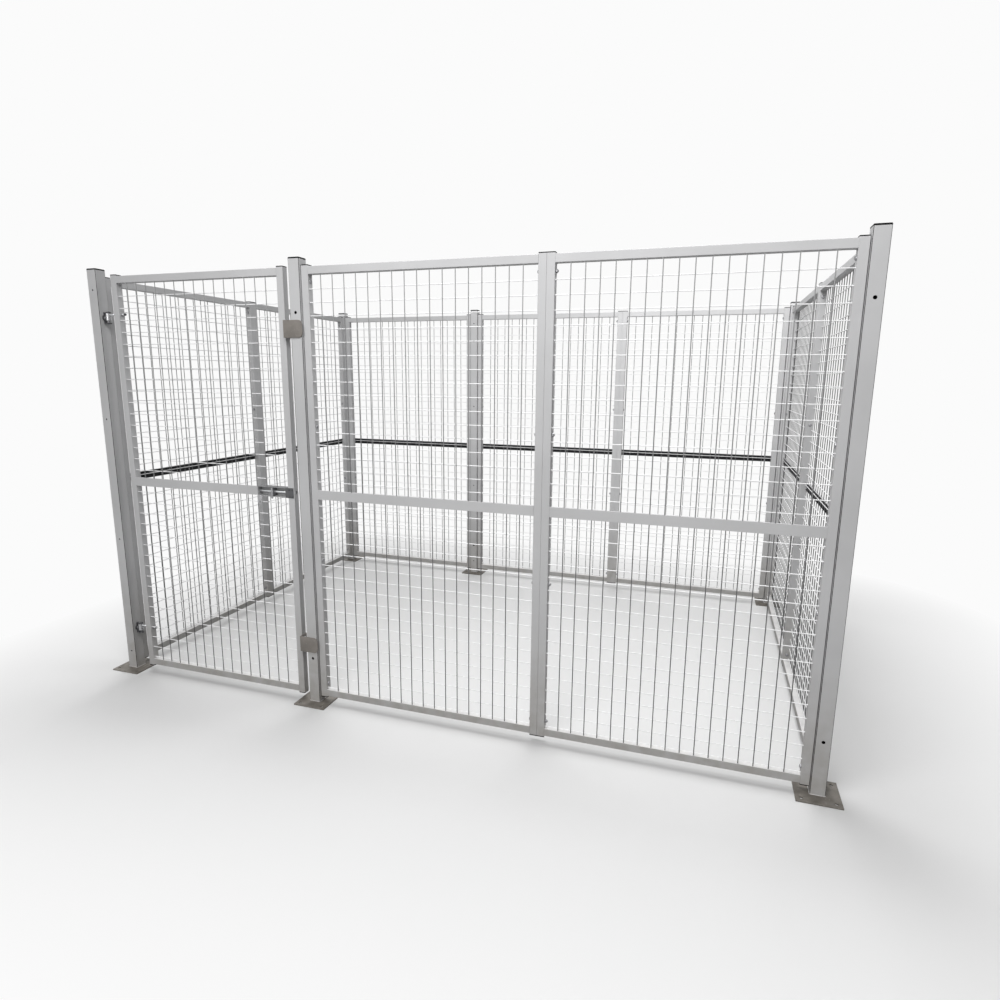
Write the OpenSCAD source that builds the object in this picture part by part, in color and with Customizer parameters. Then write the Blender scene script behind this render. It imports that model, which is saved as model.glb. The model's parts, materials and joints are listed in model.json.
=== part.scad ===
// Wire mesh enclosure: six square posts on base plates carry nine bolted mesh
// panels in four walls, open on top, with one hinged door in the front wall.
// The door swings outward on two eye-bolt hinges, shuts against two stop plates
// and is locked by a slide bolt that enters the latch post.
// Origin: middle of the plan, on the floor. +X runs along the front wall from
// the hinge post to the right corner, +Y goes from the front to the rear wall.

/* [Posts] */
// Outside width of the square post tube
post_w = 50; // [40:1:80]
// Wall thickness of the post tube
post_wall = 2.5; // [1.5:0.5:5]
// Outer corner radius of the post tube
post_corner_r = 3; // [1:0.5:5]
// Height by which a capped post rises above the panels
post_rise = 28.5; // [5:0.5:200]
// Thickness of the head of a post cap
cap_t = 6; // [2:0.5:8]
// Depth of the cap's plug inside the post
cap_plug_h = 18; // [8:1:40]

/* [Base plates] */
// Side of the square base plate
base_w = 150; // [120:1:250]
// Thickness of the base plate
base_t = 5; // [4:1:15]
// Diameter of an anchor bolt hole
anchor_hole_d = 12; // [8:1:18]
// Distance between two neighbouring anchor holes
anchor_spacing = 110; // [90:1:115]

/* [Panels] */
// Width of a mesh panel over its frame
panel_w = 981; // [600:1:1500]
// Height of a mesh panel with its plugs
panel_h = 1813; // [1200:1:2400]
// Height of the panels above the floor
panel_lift = 27.5; // [20:0.5:150]
// Outside width of the square frame tube
tube_w = 30; // [25:1:40]
// Wall thickness of the frame tube
tube_wall = 2; // [1.5:0.25:3]
// Outer corner radius of the frame tube
tube_corner_r = 2; // [0.5:0.5:2.5]
// Distance from the end of a stile's tube to the rail beside it
rail_drop = 3; // [0:0.5:20]
// Thickness of the head of a stile plug
plug_t = 3.5; // [1:0.5:6]
// Depth of the stile plug inside the tube
plug_h = 14; // [6:1:30]
// Gap between a panel's stile and its post, filled by the spacer washers
joint_gap = 2; // [1:0.5:6]

/* [Mesh] */
// Diameter of a mesh wire
wire_d = 3.5; // [2:0.1:6]
// Centre distance of neighbouring wires, both ways
wire_pitch = 50.8; // [25:0.1:100]
// Least distance from a frame to the first wire beside it
wire_edge = 50; // [30:1:100]
// Distance from the bottom rail to the lowest horizontal wire
wire_first = 9; // [4:1:40]

/* [Mid rail] */
// Height of the mid rail channel
mid_rail_h = 38; // [30:1:45]
// Depth of the mid rail channel
mid_rail_d = 8; // [6:0.5:15]
// Sheet thickness of the mid rail channel
mid_rail_wall = 2; // [1:0.25:3]
// Height of the mid rail's centre above the floor
mid_rail_z = 934; // [700:1:1100]

/* [Panel bolts] */
// Number of bolts in one joint
bolt_count = 4; // [2:1:6]
// Distance of the first and last bolt from the panel's ends
bolt_inset = 62.5; // [50:0.5:120]
// Diameter of a panel bolt
bolt_d = 8; // [6:1:10]
// Diameter of a bolt's round head
bolt_head_d = 15; // [13:0.5:18]
// Height of a bolt's round head
bolt_head_h = 5; // [3:0.5:8]
// Width of a nut over its flats
nut_w = 13; // [12:1:17]
// Height of a nut
nut_h = 6.5; // [4:0.5:9]
// Diameter of a spacer washer
washer_d = 18; // [16:1:24]

/* [Door and hinges] */
// Gap between the hinge post and the door
hinge_gap = 70; // [62:1:90]
// Gap between the door and the latch post
latch_gap = 33; // [20:1:60]
// Distance of a hinge from the panel's end to its bracket bolt
hinge_inset = 179.5; // [120:0.5:300]
// Diameter of a hinge pin
pin_d = 10; // [8:1:12]
// Distance from the hinge post to the pin's axis
pin_offset = 22; // [21:1:26]
// Height of the hinge bracket
bracket_h = 50; // [46:1:70]
// Width of the hinge bracket at its bolt
bracket_w = 28; // [26:1:34]
// Width of the hinge bracket's web above and below its bolt
web_w = 12; // [8:1:20]
// Sheet thickness of the hinge bracket
bracket_t = 4; // [3:0.5:5]
// Diameter of the bolt that holds a hinge bracket
hinge_bolt_d = 10; // [8:1:12]
// Diameter of a hole for a hinge bracket's bolt
hinge_hole_d = 12; // [9:0.5:14]
// Wall of the eye around the pin
eye_wall = 6.5; // [4:0.5:7]
// Height of the eye
eye_h = 32; // [20:1:34]
// Diameter of the eye bolt's shank
shank_d = 8; // [6:1:10]
// Length of shank that stands out of the door's stile
shank_out = 20; // [16:1:40]

/* [Stop plates] */
// Distance of a stop plate's centre from the panel's end
stop_inset = 241.5; // [100:0.5:500]
// Height of a stop plate
stop_h = 68; // [50:1:100]
// Sheet thickness of a stop plate
stop_t = 4; // [2:0.5:6]
// Reach of a stop plate past the latch post
stop_reach = 4; // [0:1:20]
// Radius of a stop plate's free corners
stop_corner_r = 19; // [4:1:24]

/* [Slide bolt] */
// Length of the latch housing, from its left end to the door's stile
housing_len = 154; // [140:1:200]
// Height of the latch housing
housing_h = 43; // [42:1:60]
// Sheet thickness of the latch housing
housing_t = 2.5; // [1.5:0.5:3]
// Distance of the slide bolt's axis below the mid rail's centre
latch_drop = 1; // [0:0.5:2]
// Diameter of the slide bolt's rod
rod_d = 12; // [10:1:14]
// Depth to which the thrown rod enters the latch post
rod_entry = 25; // [10:1:30]
// Width of the handle along the rod
handle_t = 9; // [5:0.5:12]
// Height of the handle above the rod's axis
handle_up = 17; // [13:0.5:18]
// Length of the finger bar below the rod's axis
handle_down = 29; // [24:1:45]
// Thickness of the finger bar in front of the housing
handle_bar_t = 3.5; // [3:0.5:8]
// Width of the padlock ear
ear_w = 20; // [18:1:30]
// Length of the padlock ear below the housing
ear_drop = 36; // [20:1:40]
// Diameter of the hole in the padlock ear
ear_hole_d = 9; // [7:0.5:10]

/* [Hidden] */
$fn = 32;
// Clearance around a plastic plug inside its tube
plug_clearance = 0.2;
// Air at a weld, which keeps the welded pieces solids of their own
weld_gap = 0.05;
// Radial clearance of a pin or rod that turns or slides in its bore
running_clearance = 0.05;
// Radial clearance of a bolt in its drilled hole
drill_clearance = 0.5;
// Clearance between the stop plates and the latch post
stop_clearance = 0.5;
// Radial clearance of the rod in the door's stile and in the latch post
rod_clearance = 1.5;
// Clearance beside a wire in a notch of the mid rail
notch_clearance = 1;
// Length by which a cutting body passes the face that it opens
cut = 1;

// Panels and posts
panel_top = panel_lift + panel_h;
post_h = panel_top + post_rise;
stile_bottom = panel_lift + plug_t;
stile_top = panel_top - plug_t;
rail_low_z = stile_bottom + rail_drop + tube_w / 2;
rail_high_z = stile_top - rail_drop - tube_w / 2;
mesh_bottom = rail_low_z + tube_w / 2;
mesh_top = rail_high_z - tube_w / 2;

// Plan of the enclosure
bay_w = panel_w + 2 * joint_gap;
wide_bay_w = 2 * panel_w + 2 * joint_gap;
half_x = (2 * post_w + bay_w + wide_bay_w) / 2;
half_y = (post_w + wide_bay_w) / 2;
latch_post_x = -half_x + post_w + bay_w;
panel_edge = post_w / 2 + joint_gap;

// Wires lie behind the mid rail's web, near the outer face of the frame
upright_wire_y = -tube_w / 2 + mid_rail_wall + weld_gap + wire_d / 2;
level_wire_y = upright_wire_y + wire_d + weld_gap;

// Bolts
bolt_hole_d = bolt_d + 2 * drill_clearance;
bolt_step = (panel_h - 2 * bolt_inset) / (bolt_count - 1);
bolt_rows = [for (i = [0:bolt_count - 1]) panel_lift + bolt_inset + i * bolt_step];
bolt_tail = 3;
// Share of a round head's height that is straight, and of its width that is flat
head_rim = 0.55;
head_crown = 0.6;

// Door
door_w = bay_w - hinge_gap - latch_gap;
door_x = -half_x + post_w / 2 + hinge_gap;
hinge_rows = [panel_lift + hinge_inset, panel_top - hinge_inset];
stop_rows = [panel_lift + stop_inset, panel_top - stop_inset];
pin_x = pin_offset - hinge_gap;
eye_r = pin_d / 2 + running_clearance + eye_wall;
// Height of the eye's top above the shank's axis, and its play below the upper flange
eye_top = 7;
eye_play = 1;
eye_rise = bracket_h / 2 - bracket_t - eye_play - eye_top;
hinge_head_d = 16;
hinge_head_h = 4;
hinge_nut_w = 16;
hinge_nut_h = 8;
pin_head_t = 3;
pin_head_d = 15;
pin_tail = 2;
post_front = -post_w / 2;
shank_nut_t = 5;
cap_nut_grip = 6;
cap_nut_crown = 3;
cap_nut_d = 11;
cap_nut_tip_d = 6;
screw_d = 6;
screw_tail = 8;
screw_head_d = 12;
screw_head_h = 3.6;
screw_gap = 36;
stop_screw_rows = [for (z = stop_rows, s = [-1, 1]) z + s * screw_gap / 2];

// Slide bolt, in the door's own frame
latch_z = mid_rail_z - latch_drop;
stile_x = door_w - tube_w;
housing_x = stile_x - housing_len;
// Distance of the drawn rod's tip from the door's edge, and of its other end from the housing
rod_rest = 2;
rod_throw = latch_gap + rod_entry + rod_rest;
rod_tip = door_w - rod_rest;
rod_left = housing_x - rod_throw - rod_rest;
// Solid end of the housing beside the stile, and the thrown handle's distance from it
housing_end = 12;
handle_stop = 3;
handle_x = stile_x - housing_end - handle_stop - rod_throw - handle_t;
// Place and sheet thickness of the padlock ear
ear_x = 1;
ear_t = 3;
// Part of the handle behind the rod, its play in front of the housing, and the bar's round ends
handle_rim = 4;
handle_play = 0.5;
handle_end_r = 4;
// Chamfer of the rod's tip
rod_chamfer = 3;
// Front flange and rivets of the housing
flange_t = 2;
rivet_tail = 2;
rivet_d = 5;
rivet_head_d = 9;
rivet_head_h = 1.8;
rivet_inset = 7;
rivet_columns = [stile_x + rivet_inset, door_w - flange_t - rivet_inset];
rivet_rows = [latch_z - housing_h / 2 + rivet_inset, latch_z + housing_h / 2 - rivet_inset];

// Place, turn and name of each fixed panel: front, right, rear and left wall
PANELS = [
    [latch_post_x + panel_edge, -half_y, 0],
    [latch_post_x + panel_edge + panel_w, -half_y, 0],
    [half_x, -half_y + panel_edge, 90],
    [half_x, -half_y + panel_edge + panel_w, 90],
    [half_x - panel_edge, half_y, 180],
    [half_x - panel_edge - panel_w, half_y, 180],
    [latch_post_x - panel_edge, half_y, 180],
    [-half_x, half_y - panel_edge, 270],
    [-half_x, half_y - panel_edge - panel_w, 270]
];
// Joints of a panel's left (0) or right (1) stile with a post
POST_JOINTS = [[0, 0], [1, 1], [2, 0], [3, 1], [4, 0], [5, 1], [6, 0], [6, 1], [7, 0], [8, 1]];
// Panels whose right stile is bolted to the next panel's left stile
STILE_JOINTS = [0, 2, 4, 7];

// Post positions in the order of the nodes
POSTS = [
    [-half_x, -half_y],
    [latch_post_x, -half_y],
    [half_x, -half_y],
    [-half_x, half_y],
    [latch_post_x, half_y],
    [half_x, half_y]
];

// Colours of the finishes
grey_paint = [0.76, 0.76, 0.77];
plate_paint = [0.52, 0.50, 0.47];
dark_metal = [0.28, 0.28, 0.29];
zinc = [0.72, 0.73, 0.74];
black_plastic = [0.06, 0.06, 0.06];

// ---------- shared shapes ----------

// Square with round corners, centred
module round_square(w, r) {
    square([w, w - 2 * r], center = true);
    square([w - 2 * r, w], center = true);
    for (x = [-1, 1], y = [-1, 1])
        translate([x * (w / 2 - r), y * (w / 2 - r)])
            circle(r);
}

// Upright square tube from z = 0
module tube(w, wall, r, len) {
    linear_extrude(len)
        difference() {
            round_square(w, r);
            square(w - 2 * wall, center = true);
        }
}

// Hexagonal nut with its bore, from z = 0
module nut(w, h, bore_d) {
    difference() {
        cylinder(h = h, d = w / cos(30), $fn = 6);
        translate([0, 0, -cut])
            cylinder(h = h + 2 * cut, d = bore_d);
    }
}

// Round-headed bolt: head above z = 0, shank below
module bolt(d, len, head_d, head_h) {
    translate([0, 0, -len])
        cylinder(h = len, d = d);
    cylinder(h = head_h * head_rim, d = head_d);
    translate([0, 0, head_h * head_rim])
        cylinder(h = head_h * (1 - head_rim), d1 = head_d, d2 = head_d * head_crown);
}

// Turns a shape made along +Z so that it points along +X
module along_x() {
    rotate([0, 90, 0])
        children();
}

// Turns a shape made along +Z so that it points along -Y
module along_minus_y() {
    rotate([90, 0, 0])
        children();
}

// ---------- posts ----------

// Holes through one wall of a post; the face's turn is 0 for -Y, 90 for +X
module post_holes(turn, rows, d) {
    rotate([0, 0, turn])
        for (z = rows)
            translate([0, -post_w / 2 + post_wall + cut, z])
                along_minus_y()
                    cylinder(h = post_wall + 2 * cut, d = d);
}

// Post tube; joints, hinges and spares list the turns of the drilled faces
module post(i, joints = [], hinges = [], spares = []) {
    color(grey_paint)
        translate(POSTS[i])
            difference() {
                translate([0, 0, base_t])
                    tube(post_w, post_wall, post_corner_r, post_h - cap_t - base_t);
                for (turn = joints)
                    post_holes(turn, bolt_rows, bolt_hole_d);
                for (turn = hinges)
                    post_holes(turn, hinge_rows, hinge_hole_d);
                for (turn = spares)
                    post_holes(turn, bolt_rows, bolt_d - 1);
                if (i == 1)
                    post_holes(270, [latch_z], rod_d + 2 * rod_clearance);
            }
}

module base_plate(i) {
    color(plate_paint)
        translate(POSTS[i])
            difference() {
                translate([-base_w / 2, -base_w / 2, 0])
                    cube([base_w, base_w, base_t]);
                for (x = [-1, 1], y = [-1, 1])
                    translate([x * anchor_spacing / 2, y * anchor_spacing / 2, -cut])
                        cylinder(h = base_t + 2 * cut, d = anchor_hole_d);
            }
}

module post_cap(i) {
    plug_w = post_w - 2 * post_wall - 2 * plug_clearance;
    color(black_plastic)
        translate(POSTS[i]) {
            translate([0, 0, post_h - cap_t])
                linear_extrude(cap_t * 0.75)
                    round_square(post_w, post_corner_r);
            translate([0, 0, post_h - cap_t * 0.25])
                linear_extrude(cap_t * 0.25)
                    round_square(post_w - cap_t * 0.4, post_corner_r);
            translate([0, 0, post_h - cap_t - cap_plug_h / 2])
                cube([plug_w, plug_w, cap_plug_h], center = true);
        }
}

// ---------- panels, in their own frame: x along the wall, -y outside ----------

module at_panel(i) {
    translate([PANELS[i][0], PANELS[i][1], 0])
        rotate([0, 0, PANELS[i][2]])
            children();
}

module at_door() {
    translate([door_x, -half_y, 0])
        children();
}

// Bolt holes through both side walls of a stile centred on x = 0
module stile_holes(rows, d) {
    for (z = rows)
        translate([-tube_w / 2 - cut, 0, z])
            along_x()
                cylinder(h = tube_w + 2 * cut, d = d);
}

module stile(x, rows, d) {
    translate([x, 0, 0])
        difference() {
            translate([0, 0, stile_bottom])
                tube(tube_w, tube_wall, tube_corner_r, stile_top - stile_bottom);
            stile_holes(rows, d);
        }
}

// Rail between the two stiles of a frame w wide
module rail(w, z) {
    translate([tube_w + weld_gap, 0, z])
        along_x()
            tube(tube_w, tube_wall, tube_corner_r, w - 2 * (tube_w + weld_gap));
}

module panel_frame(i) {
    color(grey_paint)
        at_panel(i) {
            stile(tube_w / 2, bolt_rows, bolt_hole_d);
            stile(panel_w - tube_w / 2, bolt_rows, bolt_hole_d);
            rail(panel_w, rail_low_z);
            rail(panel_w, rail_high_z);
        }
}

// Places of the upright wires in a frame w wide
function upright_wires(w) =
    let (inner = w - 2 * tube_w, n = floor((inner - 2 * wire_edge) / wire_pitch))
    [for (i = [0:n]) w / 2 + (i - n / 2) * wire_pitch];

// Heights of the level wires
level_wires =
    let (low = mesh_bottom + wire_first, n = floor((mesh_top - wire_edge - low) / wire_pitch))
    [for (i = [0:n]) low + i * wire_pitch];

module upright_wire(x, z0, z1) {
    translate([x, upright_wire_y, z0])
        cylinder(h = z1 - z0, d = wire_d);
}

module level_wire(z, x0, x1) {
    translate([x0, level_wire_y, z])
        along_x()
            cylinder(h = x1 - x0, d = wire_d);
}

module panel_mesh(i) {
    color(zinc)
        at_panel(i) {
            for (x = upright_wires(panel_w))
                upright_wire(x, mesh_bottom, mesh_top);
            for (z = level_wires)
                level_wire(z, tube_w, panel_w - tube_w);
        }
}

// Channel from x0 to x1, open to the inside, notched for the upright wires
module mid_rail(x0, x1, wires) {
    color(grey_paint)
        translate([0, -tube_w / 2, mid_rail_z])
            difference() {
                translate([x0, 0, -mid_rail_h / 2])
                    cube([x1 - x0, mid_rail_d, mid_rail_h]);
                translate([x0 - cut, mid_rail_wall, -mid_rail_h / 2 + mid_rail_wall])
                    cube([x1 - x0 + 2 * cut, mid_rail_d, mid_rail_h - 2 * mid_rail_wall]);
                for (x = wires)
                    translate([x - wire_d / 2 - notch_clearance, mid_rail_wall, -mid_rail_h / 2 - cut])
                        cube([wire_d + 2 * notch_clearance, mid_rail_d, mid_rail_h + 2 * cut]);
            }
}

module mid_rails(panels) {
    for (i = panels)
        at_panel(i)
            mid_rail(tube_w, panel_w - tube_w, upright_wires(panel_w));
}

// Plug with its head at z = 0 pointing up
module stile_plug() {
    plug_w = tube_w - 2 * tube_wall - 2 * plug_clearance;
    linear_extrude(plug_t)
        round_square(tube_w - plug_clearance, tube_corner_r);
    translate([0, 0, -plug_h / 2])
        cube([plug_w, plug_w, plug_h], center = true);
}

// The four plugs of a frame w wide
module frame_plugs(w) {
    color(black_plastic)
        for (x = [tube_w / 2, w - tube_w / 2]) {
            translate([x, 0, stile_top])
                stile_plug();
            translate([x, 0, stile_bottom])
                mirror([0, 0, 1])
                    stile_plug();
        }
}

module stile_plugs() {
    for (i = [0:len(PANELS) - 1])
        at_panel(i)
            frame_plugs(panel_w);
}

// ---------- panel bolts ----------

// Puts a child at each bolt of a panel's left (0) or right (1) stile, with its
// origin on the outer side of the joint and +X pointing out of the panel
module at_joint(i, side) {
    at_panel(i)
        for (z = bolt_rows)
            translate([side * panel_w, 0, z])
                mirror([1 - side, 0, 0])
                    children();
}

// Bolt whose head rests on the inner side of the stile
module joint_bolt(grip) {
    translate([-tube_w, 0, 0])
        mirror([1, 0, 0])
            along_x()
                bolt(bolt_d, grip + nut_h + bolt_tail, bolt_head_d, bolt_head_h);
}

module panel_bolts() {
    color(zinc) {
        for (j = POST_JOINTS)
            at_joint(j[0], j[1])
                joint_bolt(tube_w + joint_gap + post_wall);
        for (i = STILE_JOINTS)
            at_joint(i, 1)
                joint_bolt(2 * tube_w);
    }
}

module panel_nuts() {
    color(zinc) {
        for (j = POST_JOINTS)
            at_joint(j[0], j[1])
                translate([joint_gap + post_wall, 0, 0])
                    along_x()
                        nut(nut_w, nut_h, bolt_d);
        for (i = STILE_JOINTS)
            at_joint(i, 1)
                translate([tube_w, 0, 0])
                    along_x()
                        nut(nut_w, nut_h, bolt_d);
    }
}

module panel_washers() {
    color(zinc)
        for (j = POST_JOINTS)
            at_joint(j[0], j[1])
                along_x()
                    difference() {
                        cylinder(h = joint_gap, d = washer_d);
                        translate([0, 0, -cut])
                            cylinder(h = joint_gap + 2 * cut, d = bolt_hole_d);
                    }
}

// ---------- door, in its own frame like a panel ----------

module door_frame() {
    shank_rows = [for (z = hinge_rows) z + eye_rise];
    color(grey_paint)
        at_door() {
            stile(tube_w / 2, shank_rows, shank_d + 2 * drill_clearance);
            difference() {
                stile(stile_x + tube_w / 2, [latch_z], rod_d + 2 * rod_clearance);
                for (z = stop_screw_rows)
                    translate([door_w - tube_wall - cut, 0, z])
                        along_x()
                            cylinder(h = tube_wall + 2 * cut, d = screw_d + 2 * drill_clearance);
                for (x = rivet_columns, z = rivet_rows)
                    translate([x, -tube_w / 2 + tube_wall + cut, z])
                        along_minus_y()
                            cylinder(h = tube_wall + 2 * cut, d = rivet_d);
            }
            rail(door_w, rail_low_z);
            rail(door_w, rail_high_z);
        }
}

// Mesh of the door: wires stop at the latch housing
module door_mesh() {
    low = latch_z - housing_h / 2;
    high = latch_z + housing_h / 2;
    color(zinc)
        at_door() {
            for (x = upright_wires(door_w))
                if (x + wire_d < housing_x) {
                    upright_wire(x, mesh_bottom, mesh_top);
                } else {
                    upright_wire(x, mesh_bottom, low);
                    upright_wire(x, high, mesh_top);
                }
            for (z = level_wires)
                if (z + wire_d < low || z - wire_d > high) {
                    level_wire(z, tube_w, door_w - tube_w);
                } else {
                    level_wire(z, tube_w, housing_x);
                }
        }
}

module door_mid_rail() {
    at_door()
        mid_rail(tube_w, housing_x, [for (x = upright_wires(door_w)) if (x < housing_x) x]);
}

module door_plugs() {
    at_door()
        frame_plugs(door_w);
}

// ---------- hinges ----------

// Puts a child at each hinge: on the pin's axis, at the bracket bolt's height
module at_hinges() {
    at_door()
        for (z = hinge_rows)
            translate([pin_x, 0, z])
                children();
}

// Flange around the pin, with a round end as wide as the eye
module bracket_flange() {
    linear_extrude(bracket_t)
        difference() {
            union() {
                circle(eye_r);
                translate([-pin_offset, -web_w / 2])
                    square([pin_offset, web_w]);
            }
            circle(d = pin_d);
        }
}

// U bracket on the hinge post, its narrow web round and wider at the bolt
module hinge_brackets() {
    color(dark_metal)
        at_hinges() {
            difference() {
                union() {
                    translate([-pin_offset, -web_w / 2, -bracket_h / 2])
                        cube([bracket_t, web_w, bracket_h]);
                    translate([-pin_offset, 0, 0])
                        along_x()
                            cylinder(h = bracket_t, d = bracket_w);
                }
                translate([-pin_offset - cut, 0, 0])
                    along_x()
                        cylinder(h = bracket_t + 2 * cut, d = hinge_hole_d);
            }
            translate([0, 0, bracket_h / 2 - bracket_t])
                bracket_flange();
            translate([0, 0, -bracket_h / 2])
                bracket_flange();
        }
}

module hinge_bracket_fasteners() {
    grip = bracket_t + post_wall;
    color(zinc)
        at_hinges() {
            translate([bracket_t - pin_offset, 0, 0])
                along_x()
                    bolt(hinge_bolt_d, grip + hinge_nut_h + bolt_tail, hinge_head_d, hinge_head_h);
            translate([bracket_t - pin_offset - grip, 0, 0])
                mirror([1, 0, 0])
                    along_x()
                        nut(hinge_nut_w, hinge_nut_h, hinge_bolt_d);
        }
}

// Pin with a head on the upper flange
module hinge_pins() {
    color(zinc)
        at_hinges() {
            translate([0, 0, -bracket_h / 2 - pin_tail])
                cylinder(h = bracket_h + pin_tail, d = pin_d);
            translate([0, 0, bracket_h / 2])
                cylinder(h = pin_head_t, d = pin_head_d);
        }
}

// Barrel-shaped eye around the pin, on a shank that passes through the door's stile
module hinge_eye_bolts() {
    shank_end = hinge_gap - pin_offset + tube_w + shank_out;
    color(zinc)
        at_hinges()
            translate([0, 0, eye_rise])
                difference() {
                    union() {
                        translate([0, 0, eye_top - eye_h])
                            cylinder(h = eye_h, r = eye_r);
                        along_x()
                            cylinder(h = shank_end, d = shank_d);
                    }
                    translate([0, 0, eye_top - eye_h - cut])
                        cylinder(h = eye_h + 2 * cut, d = pin_d + 2 * running_clearance);
                }
}

// A lock nut on each side of the stile and a cap nut on the shank's end
module hinge_nuts() {
    stile_side = hinge_gap - pin_offset;
    color(dark_metal)
        at_hinges()
            translate([0, 0, eye_rise]) {
                for (x = [stile_side - shank_nut_t, stile_side + tube_w])
                    translate([x, 0, 0])
                        along_x()
                            nut(nut_w, shank_nut_t, shank_d);
                translate([stile_side + tube_w + shank_out - cap_nut_grip, 0, 0])
                    along_x()
                        difference() {
                            union() {
                                cylinder(h = cap_nut_grip, d = cap_nut_d);
                                translate([0, 0, cap_nut_grip])
                                    cylinder(h = cap_nut_crown, d1 = cap_nut_d, d2 = cap_nut_tip_d);
                            }
                            translate([0, 0, -cut])
                                cylinder(h = cap_nut_grip + cut, d = shank_d);
                        }
            }
}

// ---------- stop plates ----------

// Angle plate on the door's free stile, lapping the front of the latch post
module stop_plate() {
    reach = latch_gap + post_w + stop_reach;
    back = post_front - stop_clearance;
    difference() {
        union() {
            translate([0, back - stop_t, -stop_h / 2])
                cube([reach - stop_corner_r, stop_t, stop_h]);
            translate([0, back - stop_t, -stop_h / 2 + stop_corner_r])
                cube([reach, stop_t, stop_h - 2 * stop_corner_r]);
            for (s = [-1, 1])
                translate([reach - stop_corner_r, back, s * (stop_h / 2 - stop_corner_r)])
                    along_minus_y()
                        cylinder(h = stop_t, r = stop_corner_r);
            translate([0, back - stop_t, -stop_h / 2])
                cube([stop_t, tube_w / 2 - back + stop_t, stop_h]);
        }
        for (s = [-1, 1])
            translate([-cut, 0, s * screw_gap / 2])
                along_x()
                    cylinder(h = stop_t + 2 * cut, d = screw_d + 2 * drill_clearance);
    }
}

module stop_plates() {
    color(plate_paint)
        at_door()
            for (z = stop_rows)
                translate([door_w, 0, z])
                    stop_plate();
}

module stop_plate_screws() {
    color(zinc)
        at_door()
            for (z = stop_screw_rows)
                translate([door_w + stop_t, 0, z])
                    along_x()
                        bolt(screw_d, stop_t + tube_wall + screw_tail, screw_head_d, screw_head_h);
}

// ---------- slide bolt ----------

// Open trough beside the stile, with a front flange that laps the stile
module latch_housing() {
    front = -tube_w / 2;
    low = latch_z - housing_h / 2;
    color(dark_metal)
        at_door()
            difference() {
                union() {
                    translate([housing_x, front, low])
                        cube([housing_len, tube_w, housing_h]);
                    translate([stile_x - housing_end, front - flange_t, low])
                        cube([tube_w - flange_t + housing_end, flange_t, housing_h]);
                }
                translate([housing_x + housing_t, front - flange_t - cut, low + housing_t])
                    cube([
                        housing_len - housing_end - housing_t,
                        tube_w + flange_t + cut - housing_t,
                        housing_h - 2 * housing_t
                    ]);
                translate([housing_x - cut, 0, latch_z])
                    along_x()
                        cylinder(h = housing_len + 2 * cut, d = rod_d + 2 * running_clearance);
                for (x = rivet_columns, z = rivet_rows)
                    translate([x, front + cut, z])
                        along_minus_y()
                            cylinder(h = flange_t + 2 * cut, d = rivet_d);
            }
}

module latch_rivets() {
    color(zinc)
        at_door()
            for (x = rivet_columns, z = rivet_rows)
                translate([x, -tube_w / 2 - flange_t, z])
                    along_minus_y()
                        bolt(rivet_d, flange_t + tube_wall + rivet_tail, rivet_head_d, rivet_head_h);
}

// Ear below the housing, for a padlock
module padlock_ear() {
    hang = latch_z - housing_h / 2;
    r = ear_w / 2;
    color(zinc)
        at_door()
            translate([housing_x + ear_x, -tube_w / 2, hang])
                difference() {
                    union() {
                        translate([0, -ear_t, r - ear_drop])
                            cube([ear_w, ear_t, ear_drop - r + 2 * housing_t]);
                        translate([r, 0, r - ear_drop])
                            along_minus_y()
                                cylinder(h = ear_t, r = r);
                    }
                    translate([r, cut, r - ear_drop])
                        along_minus_y()
                            cylinder(h = ear_t + 2 * cut, d = ear_hole_d);
                }
}

module latch_bolt() {
    color(zinc)
        at_door()
            translate([rod_left, 0, latch_z])
                along_x()
                    cylinder(h = rod_tip - rod_chamfer - rod_left, d = rod_d);
    color(zinc)
        at_door()
            translate([rod_tip - rod_chamfer, 0, latch_z])
                along_x()
                    cylinder(h = rod_chamfer, d1 = rod_d, d2 = rod_d - 2 * rod_chamfer);
}

// Collar around the rod inside the housing, with an upright finger bar in front of it
module latch_handle() {
    back = rod_d / 2 + handle_rim;
    bar_back = -tube_w / 2 - handle_play;
    collar_h = 2 * handle_up;
    color(zinc)
        at_door()
            translate([handle_x, 0, latch_z])
                difference() {
                    union() {
                        translate([0, bar_back - handle_bar_t / 2, -handle_up])
                            cube([handle_t, back - bar_back + handle_bar_t / 2, collar_h]);
                        translate([0, bar_back - handle_bar_t, -handle_down + handle_end_r])
                            cube([handle_t, handle_bar_t, handle_down + handle_up - handle_end_r]);
                        for (x = [handle_end_r, handle_t - handle_end_r])
                            translate([x, bar_back, -handle_down + handle_end_r])
                                along_minus_y()
                                    cylinder(h = handle_bar_t, r = handle_end_r);
                    }
                    translate([-cut, 0, 0])
                        along_x()
                            cylinder(h = handle_t + 2 * cut, d = rod_d);
                }
}

// ---------- drawing ----------

post(0, joints = [180], hinges = [90], spares = [0]);  // post_hinge
post(1, joints = [90], hinges = [0]);  // post_latch
post(2, joints = [180, 270], hinges = [0]);  // post_front_right
post(3, joints = [0, 90]);  // post_rear_left
post(4, joints = [90, 270], hinges = [0], spares = [0]);  // post_rear_middle
post(5, joints = [0, 270]);  // post_rear_right
base_plate(0);  // base_plate_hinge
base_plate(1);  // base_plate_latch
base_plate(2);  // base_plate_front_right
base_plate(3);  // base_plate_rear_left
base_plate(4);  // base_plate_rear_middle
base_plate(5);  // base_plate_rear_right
post_cap(0);  // cap_hinge
post_cap(1);  // cap_latch
post_cap(2);  // cap_front_right
post_cap(3);  // cap_rear_left
post_cap(4);  // cap_rear_middle
post_cap(5);  // cap_rear_right
panel_frame(0);  // panel_frame_1
panel_frame(1);  // panel_frame_2
panel_frame(2);  // panel_frame_3
panel_frame(3);  // panel_frame_4
panel_frame(4);  // panel_frame_5
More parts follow.
